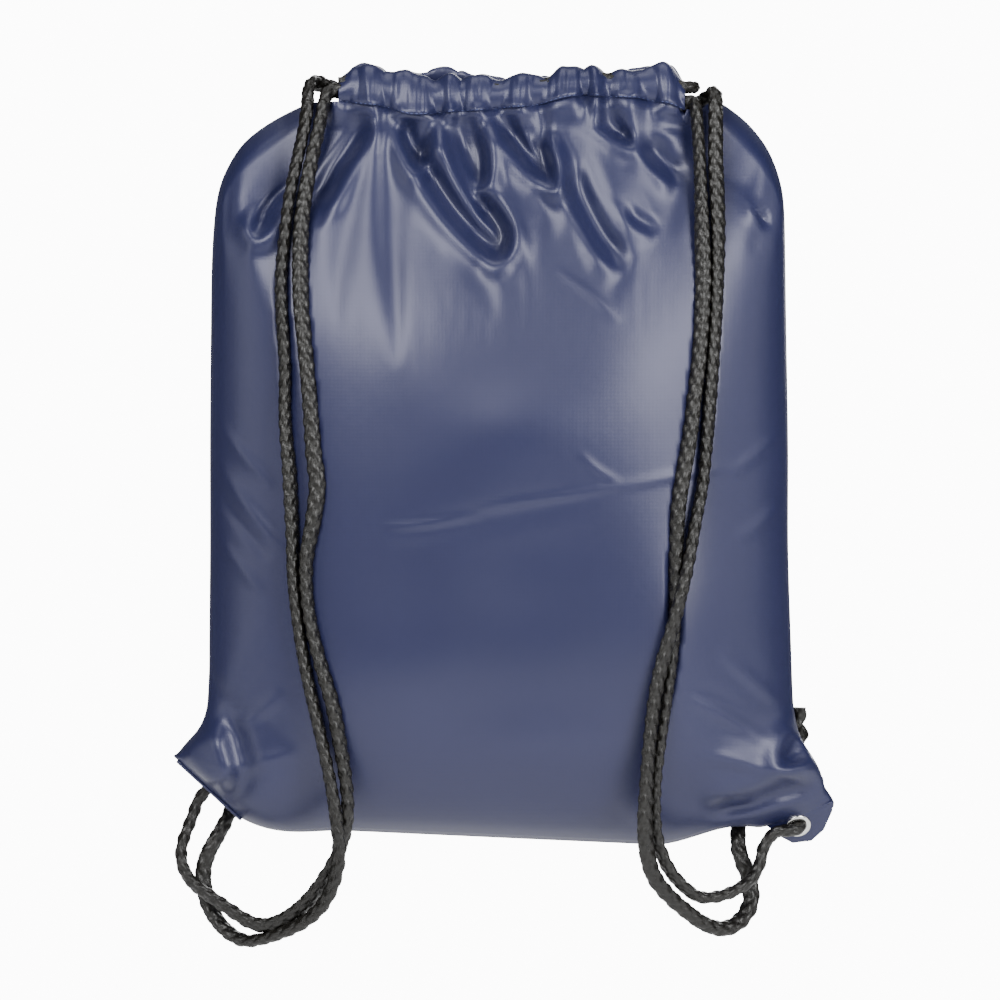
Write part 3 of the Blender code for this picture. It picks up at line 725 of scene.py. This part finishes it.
def corner_frame(corner):
    """Points of the fold and its flap, and the flap's outward normal and own downward way."""
    fold, along, outward = corner["fold_angle"], corner["along"], corner["outward"]
    down = math.cos(fold) * outward + math.sin(fold) * Vector((0, 1, 0))
    normal = math.cos(fold) * Vector((0, -1, 0)) + math.sin(fold) * outward

    def place(key):
        a, b = corner[key]
        return corner["origin"] + (a * along + b * down) / 1000

    return place, normal, down


def cloth_start(u, v, face, lines):
    """(place, hold) of a cloth point before the simulation; hold is 1 where it is pinned."""
    t = 2 * u - 1
    side = -1 if t < 0 else 1
    edge = u in (0, 1) or v == 1
    drop = STITCHED_DROP + (BOTTOM_DROP - STITCHED_DROP) * v**0.93
    lens = max(0.0, 1 - abs(t) ** 2.2) ** 0.6
    x = NECK_SHIFT * max(0, 1 - drop / NECK_SHIFT_DROP) ** 2 + t * half_width(drop)
    place = Vector((x, face * half_depth(drop) * lens, -drop))
    near_top = max(0.0, 1 - v / ROW_BLEND)
    near_top = near_top * near_top * (3 - 2 * near_top)
    place.x += (gathered_row(u, face).x - place.x) * near_top
    corner = CORNERS[side]
    flap_place, normal, _ = corner_frame(corner)
    place.z -= max(0.0, (v - 0.8) / 0.2) * BOTTOM_TILT * place.x
    from_seam = (u if side < 0 else 1 - u) * CLOTH_WIDTH
    from_bottom = (1 - v) * CLOTH_HEIGHT
    up_seam, along_bottom = from_bottom / corner["leg"], from_seam / corner["leg"]
    flap = (
        flap_place("corner")
        + (flap_place("tip") - flap_place("corner")) * up_seam
        + (flap_place("end") - flap_place("corner")) * along_bottom
    )
    if up_seam + along_bottom <= 1:
        return flap + normal * (0 if edge else -0.0004 * face), 1.0
    near = 1 - (math.hypot(from_seam, from_bottom) - 0.02) / 0.06
    near = min(1.0, max(0.0, near))
    place = place.lerp(flap, 0.8 * near * near * (3 - 2 * near))
    if v == 0:
        return gathered_row(u, face), 1.0
    if u in (0, 1):
        points, lengths = lines[side]
        down_seam = v * CLOTH_HEIGHT
        x = np.interp(down_seam, lengths, points[:, 0])
        z = np.interp(down_seam, lengths, points[:, 1])
        hold = min(1.0, 1 - (down_seam - 0.03) / (SEAM_HELD - 0.03))
        return Vector((x, 0, z)), max(SEAM_GUIDE, hold)
    return place, BOTTOM_HOLD if v == 1 else 0.0


def sewn_cloth(finish):
    """Both panels as one mesh, sewn along the sides and bottom and open at the casing."""
    columns, rows = round(CLOTH_WIDTH / CLOTH_STEP), round(CLOTH_HEIGHT / CLOTH_STEP)
    lines = {side: shoulder_line(side) for side in (-1, 1)}
    index, places, flats, holds = {}, [], [], []
    for face in (-1, 1):
        for row in range(rows + 1):
            for column in range(columns + 1):
                edge = column in (0, columns) or row == rows
                if face == 1 and edge:
                    index[face, row, column] = index[-1, row, column]
                    continue
                u, v = column / columns, row / rows
                place, hold = cloth_start(u, v, face, lines)
                index[face, row, column] = len(places)
                places.append(place)
                holds.append(hold)
                share = min(1.0, v / SLACK_END)
                down = v * CLOTH_HEIGHT + SLACK * share * share * (3 - 2 * share)
                flats.append((u * CLOTH_WIDTH, 0 if edge else face * SEAM_GAP, -down))
    free = np.array(holds) == 0
    places = np.array(places)
    places[free] = shape_folds(places, START_FOLDS)[free]
    faces = []
    for face in (-1, 1):
        for row in range(rows):
            for column in range(columns):
                down, right = row + 1, column + 1
                corners = [(row, column), (down, column), (down, right), (row, right)]
                ring = [index[face, *corner] for corner in corners]
                faces.append(ring if face < 0 else ring[::-1])
    obj = add_mesh("bag_fabric", places, faces, finish)
    return obj, index, (columns, rows), flats, holds


def fill_bag(obj, flats, holds):
    """Blows the sewn cloth up by simulation, held by its gathered mouth and its tied corners."""
    obj.shape_key_add(name="start")
    rest = obj.shape_key_add(name="flat")
    for point, place in zip(rest.data, flats):
        point.co = place
    group = obj.vertex_groups.new(name="held")
    for number, hold in enumerate(holds):
        if hold > 0:
            group.add([number], hold, "REPLACE")
    filled = obj.vertex_groups.new(name="filled")
    for number, place in enumerate(flats):
        share = min(1.0, max(0.0, -place[2] / (CLOTH_HEIGHT * SLACK_END)))
        push = LEAST_PRESSURE + (1 - LEAST_PRESSURE) * share**1.6
        filled.add([number], push, "REPLACE")
    cloth = obj.modifiers.new("cloth", "CLOTH")
    settings = cloth.settings
    settings.quality = 6
    settings.mass = 0.02
    settings.air_damping = 2
    settings.tension_stiffness = 15
    settings.compression_stiffness = 5
    settings.shear_stiffness = 10
    settings.bending_stiffness = 2
    settings.tension_damping = settings.compression_damping = settings.shear_damping = 5
    settings.use_pressure = True
    settings.uniform_pressure_force = PRESSURE
    settings.vertex_group_mass = "held"
    settings.vertex_group_pressure = "filled"
    settings.rest_shape_key = rest
    settings.effector_weights.gravity = GRAVITY_SHARE
    cloth.collision_settings.use_collision = False
    cloth.point_cache.frame_start = 1
    cloth.point_cache.frame_end = FRAMES
    scene = bpy.context.scene
    for number in range(1, FRAMES + 1):
        scene.frame_set(number)
    apply_modifiers(obj)


def fold_height(x, z, folds):
    """How far the folds move the cloth outwards at (x, z)."""
    height = np.zeros_like(x)
    for route, width, rise, depth in folds:
        points, _ = smooth_route([Vector((px / 1000, 0, pz / 1000)) for px, pz in route], 0.004)
        points = points[:, [0, 2]]
        near = np.full_like(x, 1.0)
        across = np.full_like(x, 1.0)
        share = np.zeros_like(x)
        for k in range(len(points) - 1):
            way = points[k + 1] - points[k]
            fx, fz = x - points[k][0], z - points[k][1]
            t = np.clip((fx * way[0] + fz * way[1]) / way.dot(way), 0, 1)
            distance = np.hypot(fx - t * way[0], fz - t * way[1])
            closer = distance < near
            near = np.where(closer, distance, near)
            left = np.sign(way[0] * fz - way[1] * fx)
            across = np.where(closer, distance * left, across)
            share = np.where(closer, (k + t) / (len(points) - 1), share)
        q = across * 1000 / width
        crest = rise * np.exp(-((q + 0.1) ** 2) / np.where(q < 0, 3.0, 0.8))
        hollow = -depth * np.exp(-(((q - 1.9) / 1.25) ** 2))
        fade = np.clip(share / 0.2, 0.35, 1) * np.clip((1 - share) / 0.2, 0, 1) ** 0.7
        height += (crest + hollow) / 1000 * fade
    return height


def shape_folds(points, size):
    """Raises the folds, faded out towards the casing and the seams."""
    points = points.copy()
    front = points[:, 1] < 0
    for face, mask, folds in ((-1, front, FRONT_FOLDS), (1, ~front, BACK_FOLDS)):
        x, z = points[mask, 0], points[mask, 2]
        fade = np.clip((-0.016 - z) / 0.012, 0, 1)
        fade = fade * np.clip((np.abs(points[mask, 1]) - 0.002) / 0.010, 0, 1)
        points[mask, 1] += face * size * fold_height(x, z, folds) * fade
    return points


def shape_body(points):
    """Adds the broad bulges and hollows, and the long creases."""
    for face, lumps, creases in ((-1, FRONT_LUMPS, FRONT_CREASES), (1, BACK_LUMPS, BACK_CREASES)):
        mask = points[:, 1] * face > 0
        x, z = points[mask, 0] * 1000, points[mask, 2] * 1000
        height = np.zeros_like(x)
        for (cx, cz), (wide, high), rise in lumps:
            height += rise * np.exp(-(((x - cx) / wide) ** 2) - ((z - cz) / high) ** 2)
        for (ax, az), (bx, bz), width, rise in creases:
            wx, wz = bx - ax, bz - az
            t = ((x - ax) * wx + (z - az) * wz) / (wx * wx + wz * wz)
            side = ((x - ax) * wz - (z - az) * wx) / math.hypot(wx, wz)
            side = side + 0.8 * np.sin(t * 5 + ax)
            fade = np.sin(np.pi * np.clip(t, 0, 1)) ** 0.7
            height += rise * np.exp(-((side / width) ** 2)) * fade
        fade = np.clip((np.abs(points[mask, 1]) - 0.002) / 0.015, 0, 1)
        points[mask, 1] += face * height / 1000 * fade
    return points


def press_cords(points, paths):
    """Moves the front's cloth in where a cord lies on it, above the bottom seam."""
    tree = kdtree.KDTree(sum(len(path) for path in paths))
    for number, place in enumerate(place for path in paths for place in path):
        tree.insert(place, number)
    tree.balance()
    for i, point in enumerate(points):
        near, _, distance = tree.find(point)
        if distance >= CORD_REACH or point[2] < 0.004 - BOTTOM_DROP:
            continue
        beside = math.hypot(point[0] - near[0], point[2] - near[2])
        if beside >= CORD_CLEAR:
            continue
        wanted = near[1] + math.sqrt(CORD_CLEAR * CORD_CLEAR - beside * beside)
        if point[1] < 0 and point[1] < wanted:
            points[i][1] = min(wanted, -0.001)
    return points


def cut_eyelet_holes(obj):
    for corner in CORNERS.values():
        place, normal, _ = corner_frame(corner)
        centre = place("eyelet")
        edit = bmesh.new()
        edit.from_mesh(obj.data)
        inside = []
        for vert in edit.verts:
            way = vert.co - centre
            high = way.dot(normal)
            if abs(high) < HOLE_REACH and (way - normal * high).length < HOLE_RADIUS:
                inside.append(vert)
        bmesh.ops.delete(edit, geom=inside, context="VERTS")
        edit.to_mesh(obj.data)
        edit.free()


def bag(finish, paths):
    obj, index, (columns, rows), flats, holds = sewn_cloth(finish)
    fill_bag(obj, flats, holds)
    crease = obj.data.attributes.new("crease_edge", "FLOAT", "EDGE")
    way = [index[-1, row, 0] for row in range(rows)]
    way += [index[-1, rows, column] for column in range(columns)]
    way += [index[-1, row, columns] for row in range(rows, -1, -1)]
    seam = {frozenset(pair) for pair in zip(way, way[1:])}
    for edge in obj.data.edges:
        crease.data[edge.index].value = SEAM_CREASE if frozenset(edge.vertices) in seam else 0
    finer = obj.modifiers.new("finer", "SUBSURF")
    finer.levels = finer.render_levels = 1
    apply_modifiers(obj)
    places = np.empty(len(obj.data.vertices) * 3)
    obj.data.vertices.foreach_get("co", places)
    places = shape_body(shape_folds(places.reshape(-1, 3), ADDED_FOLDS))
    obj.data.vertices.foreach_set("co", press_cords(places, paths).reshape(-1))
    cut_eyelet_holes(obj)
    thicken(obj)
    obj.data.shade_smooth()
    seams = ("left_side_seam", "right_side_seam", "bottom_seam")
    on_bag(obj, "nylon", "front_panel", "back_panel", *seams)
    return obj


def casing_point(u, around, face):
    """A point of the hem: around runs from the stitching, up the outside and back down."""
    row = gathered_row(u, face)
    top = curve_between(TOP_EDGE, row.x if face < 0 else 2 * CASING_MIDDLE - row.x)
    turn = 2 * math.pi * around
    ends = min(1.0, min(u - HEM_START, HEM_END - u) / 0.05 + 0.3) ** 0.7
    high = (top - row.z) / 2 * (0.45 + 0.55 * ends)
    c, s = -math.cos(turn), math.sin(turn)
    slant = 0.9 * math.sin(2 * math.pi * u * 1.7 + face) * c
    middle = math.sqrt(0.5 + 0.5 * math.sin(gather(u, face) + slant))
    ruffle = HEM_RUFFLE * (middle - 0.72) * (0.75 + 0.35 * math.sin(u * 31 + face))
    ruffle += 0.0010 * noise.noise(Vector((u * 60, around * 3, face)))
    base = casing_line(row.x) + 0.001
    out = math.copysign(abs(s) ** 0.7, s) * HEM_DEEP * ends
    lean = (face * row.y - base - HEM_DEEP * 0.2) * max(0.0, -c) ** 1.5
    back = HEM_TUCK * max(0.0, c)
    y = base - back + out + ruffle * (0.35 + 0.65 * abs(s)) * (1 if s > 0 else -0.4) + lean
    z = row.z + high + math.copysign(abs(c) ** 0.8, c) * high
    uneven = 0.0016 * noise.noise(Vector((u * 25, 3, face)))
    z += (0.0026 * (middle - 0.5) + uneven) * max(0.0, c)
    clear = base + HEM_CLEAR * s - back if s > 0 else 0.0
    return Vector((row.x, face * max(y, clear, 0.0006), z))


def casing(name, face, finish):
    points = []
    for k in range(HEM_COLUMNS + 1):
        u = HEM_START + (HEM_END - HEM_START) * k / HEM_COLUMNS
        points += [casing_point(u, i / HEM_AROUND, face) for i in range(HEM_AROUND)]
    faces = ring_faces(HEM_COLUMNS + 1, HEM_AROUND, closed=False)
    if face > 0:
        faces = [ring[::-1] for ring in faces]
    obj = add_mesh(name, points, faces, finish)
    thicken(obj)
    on_bag(obj, "nylon", name.replace("_hem", "_casing"))


def stitches(name, face, finish):
    """The lockstitch along the hem: short threads with their ends sunk into the cloth."""
    points, faces = [], []
    sides, rings = 6, 5
    one = turned_round(ring_faces(rings, sides, closed=False))
    for k in range(STITCH_COUNT):
        first, last = [0.04 + 0.92 * (k + shift) / STITCH_COUNT for shift in (0.12, 0.88)]
        faces += [tuple(len(points) + corner for corner in ring) for ring in one]
        for r in range(rings):
            share = r / (rings - 1)
            place = casing_point(first + (last - first) * share, 0.055, face)
            arch = math.sin(math.pi * share)
            place.y += face * (0.0001 + 0.00025 * arch)
            radius = STITCH_RADIUS * (0.5 + 0.5 * arch)
            for i in range(sides):
                a = 2 * math.pi * i / sides
                points.append(place + Vector((0, math.cos(a), math.sin(a))) * radius)
    obj = add_mesh(name, points, faces, finish)
    on_bag(obj, "thread", name)


# Corners and eyelets


def edge_distance(outline, centre, dx, dz):
    """How far the outline is from the centre in one direction."""
    reach = 0.0
    for (ax, az), (bx, bz) in zip(outline, outline[1:] + outline[:1]):
        cross = dx * (bz - az) - dz * (bx - ax)
        if abs(cross) < 1e-9:
            continue
        fx, fz = ax - centre[0], az - centre[1]
        along = (fx * (bz - az) - fz * (bx - ax)) / cross
        share = (fx * dz - fz * dx) / cross
        if along > 0 and -1e-6 <= share <= 1 + 1e-6:
            reach = max(reach, along)
    return reach


def reinforcement(side, finish):
    """The layers sewn together round the eyelet, with a turned edge and a stitched groove."""
    corner = CORNERS[-1 if side == "left" else 1]
    _, normal, down = corner_frame(corner)
    a0, b0 = corner["eyelet"]
    # Each is a radius, or if not above zero a distance from the patch's edge, and half a thickness.
    profile = [(4.6, 0.55), (7.5, 0.8), (-2.6, 0.85), (-1.8, 0.7), (-1.0, 0.95), (-0.3, 0.75)]
    profile.append((0, 0.1))
    profile += [(radius, -high) for radius, high in reversed(profile)]
    count = 120
    points = []
    for k in range(count):
        angle = 2 * math.pi * k / count
        dx, dz = math.cos(angle), math.sin(angle)
        reach = edge_distance(corner["flap"], (a0, b0), dx, dz)
        for radius, high in profile:
            if radius > 0:
                distance = min(radius, max(PATCH_HOLE, reach - 0.2))
            else:
                distance = max(PATCH_HOLE, reach + radius)
            a, b = a0 + dx * distance, b0 + dz * distance
            way = a * corner["along"] + b * down + high * normal
            points.append(corner["origin"] + way / 1000)
    faces = ring_faces(count, len(profile), closed=True)
    obj = add_mesh(f"{side}_corner_patch", points, faces, finish)
    on_bag(obj, "nylon", f"{side}_corner_reinforcement")


def turned(name, profile, matrix, finish):
    """A closed ring turned about Z from (radius, height) points."""
    count = 72
    points = []
    for k in range(count):
        x, y = math.cos(2 * math.pi * k / count), math.sin(2 * math.pi * k / count)
        points += [matrix @ Vector((radius * x, radius * y, high)) for radius, high in profile]
    faces = turned_round(ring_faces(count, len(profile), closed=True))
    obj = add_mesh(name, points, faces, finish)
    obj.data.set_sharp_from_angle(angle=math.radians(50))
    return obj


def eyelet(side, finish):
    """A rolled flange with its barrel, clinched over a washer at the back."""
    corner = CORNERS[-1 if side == "left" else 1]
    place, normal, _ = corner_frame(corner)
    along = corner["along"]
    matrix = Matrix((along, normal.cross(along), normal)).transposed().to_4x4()
    matrix.translation = place("eyelet")
    flange = []
    for k in range(13):
        a = math.pi * k / 12
        radius = RIM - (RIM - BORE) * (1 - math.cos(a)) / 2
        flange.append((radius, FACE + (CROWN - FACE) * math.sin(a) ** 0.7))
    barrel = [(BORE, FACE - 0.0006), (BORE - 0.0001, -0.0008), (BORE, -0.0017)]
    clinch = []
    for k in range(9):
        a = math.pi * k / 8
        radius = BORE + (CLINCHED - BORE) * (1 - math.cos(a)) / 2
        clinch.append((radius, -0.0017 - 0.0008 * math.sin(a)))
    back = [(0.0044, -0.0016), (0.0044, FACE)]
    obj = turned(f"{side}_corner_eyelet", flange + barrel + clinch + back, matrix, finish)
    on_bag(obj, "nickel", f"{side}_eyelet")
    ring = [
        (0.0067, -0.0008),
        (0.0064, -0.0014),
        (0.0055, -0.0016),
        (0.0047, -0.0014),
        (0.0047, -0.0008),
    ]
    washer = turned(f"{side}_corner_washer", ring, matrix, finish)
    on_bag(washer, "nickel", f"{side}_eyelet_washer")


# Studio


def camera():
    data = bpy.data.cameras.new("camera")
    data.sensor_width = 36
    data.lens = data.sensor_width * CAMERA_DISTANCE / VIEW_WIDTH
    data.clip_end = 50
    obj = bpy.data.objects.new("camera", data)
    obj.location = (0, -CAMERA_DISTANCE, VIEW_MIDDLE)
    obj.rotation_euler = (math.pi / 2, 0, 0)
    bpy.context.scene.collection.objects.link(obj)
    bpy.context.scene.camera = obj


def area_light(name, place, target, size, watts):
    data = bpy.data.lights.new(name, "AREA")
    data.shape = "RECTANGLE"
    data.size, data.size_y = size
    data.energy = watts
    obj = bpy.data.objects.new(name, data)
    obj.location = place
    obj.rotation_euler = (Vector(target) - Vector(place)).to_track_quat("-Z", "Y").to_euler()
    bpy.context.scene.collection.objects.link(obj)


def studio():
    """Soft lamps over a pale floor, with a backdrop that is bright to the camera only."""
    world = bpy.data.worlds.new("studio")
    world.use_nodes = True
    nodes = world.node_tree.nodes
    white = (1, 1, 1, 1)
    dim = set_inputs(nodes["Background"], Color=white, Strength=0.07)
    bright = add_node(nodes, "ShaderNodeBackground", Color=white, Strength=12)
    seen, either = nodes.new("ShaderNodeLightPath"), nodes.new("ShaderNodeMixShader")
    link(seen, "Is Camera Ray", either, "Fac")
    link(dim, "Background", either, 1)
    link(bright, "Background", either, 2)
    link(either, "Shader", nodes["World Output"], "Surface")
    bpy.context.scene.world = world
    pale, _, _ = nodes_of(
        "pale_floor",
        Base_Color=(0.9, 0.9, 0.9, 1),
        Emission_Color=white,
        Emission_Strength=0.35,
        Roughness=0.9,
        Specular_IOR_Level=0.1,
    )
    ring = []
    for k in range(FLOOR_SIDES):
        a = 2 * math.pi * k / FLOOR_SIDES
        ring.append((FLOOR_RADIUS * math.cos(a), FLOOR_RADIUS * math.sin(a), FLOOR_HEIGHT))
    floor = add_mesh("floor", ring, [range(FLOOR_SIDES)], pale)
    area_light("left_softbox", (-0.8, -1.7, 0.9), (0, 0, -0.15), (1.1, 0.9), 46)
    area_light("right_softbox", (1.15, -1.5, 0.45), (0, 0, -0.15), (0.7, 1.3), 43)
    area_light("left_side_softbox", (-2.0, -0.6, 0.1), (0, 0, -0.2), (0.9, 1.4), 9)
    area_light("right_side_softbox", (2.0, -0.6, 0.1), (0, 0, -0.2), (0.9, 1.4), 7)
    area_light("top_softbox", (0, -0.1, 1.5), (0, 0, -0.2), (1.2, 0.8), 10)
    area_light("rear_softbox", (0.5, 1.8, 0.5), (0, 0, -0.2), (1.2, 1.2), 25)


def main():
    camera()
    studio()
    cloth, cord = nylon(), braid_material()
    nickel, thread = nickel_material(), thread_material()

    # Each strand's way out of the casing, its free part and its lead
    strands = {
        "left_outer": (LEFT_BACK_EXIT, LEFT_OUTER_STRAND, LEFT_BACK_LEAD),
        "left_inner": (LEFT_FRONT_EXIT[::-1], LEFT_INNER_STRAND, LEFT_EYELET_LEAD),
        "right_outer": (RIGHT_BACK_EXIT, RIGHT_OUTER_STRAND, RIGHT_BACK_LEAD),
        "right_inner": (RIGHT_FRONT_EXIT[::-1], RIGHT_INNER_STRAND, RIGHT_EYELET_LEAD),
    }
    knots = {side: knot(side, cord) for side in ("left", "right")}
    paths = []
    for seed, (name, (way_out, strand, lead)) in enumerate(strands.items()):
        side, which = name.split("_")
        start = (
            CASING_MIDDLE + (CASING_HALF if side == "right" else -CASING_HALF),
            -HEM_EXIT if which == "inner" else HEM_EXIT,
            LOWER_LANE if side == "right" else UPPER_LANE,
        )
        route = [Vector(start), *way_out, *strand, *lead]
        obj, path, length = braid(f"{name}_cord", route, cord, seed=seed)
        paths.append(path)
        lead_node = "eyelet_lead" if which == "inner" else "back_lead"
        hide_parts(f"{side}_strap_{which}_strand", f"{side}_cord_{lead_node}")
        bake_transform(obj)
        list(path[:-1:6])
    for side, offset in (("left", CASING_LANE), ("right", -CASING_LANE)):
        route = casing_loop(offset, side == "right")
        name = f"{side}_casing_cord"
        obj, _, _ = braid(name, route, cord, step=0.0012, size=CASING_CORD_SIZE)
        on_bag(obj, "cord", f"{side}_cord_casing_run")
        eyelet(side, nickel)
        reinforcement(side, cloth)

    fabric = bag(cloth, paths)
    for face, where in ((-1, "front"), (1, "back")):
        casing(f"{where}_hem", face, cloth)
        stitches(f"{where}_casing_stitching", face, thread)


main()
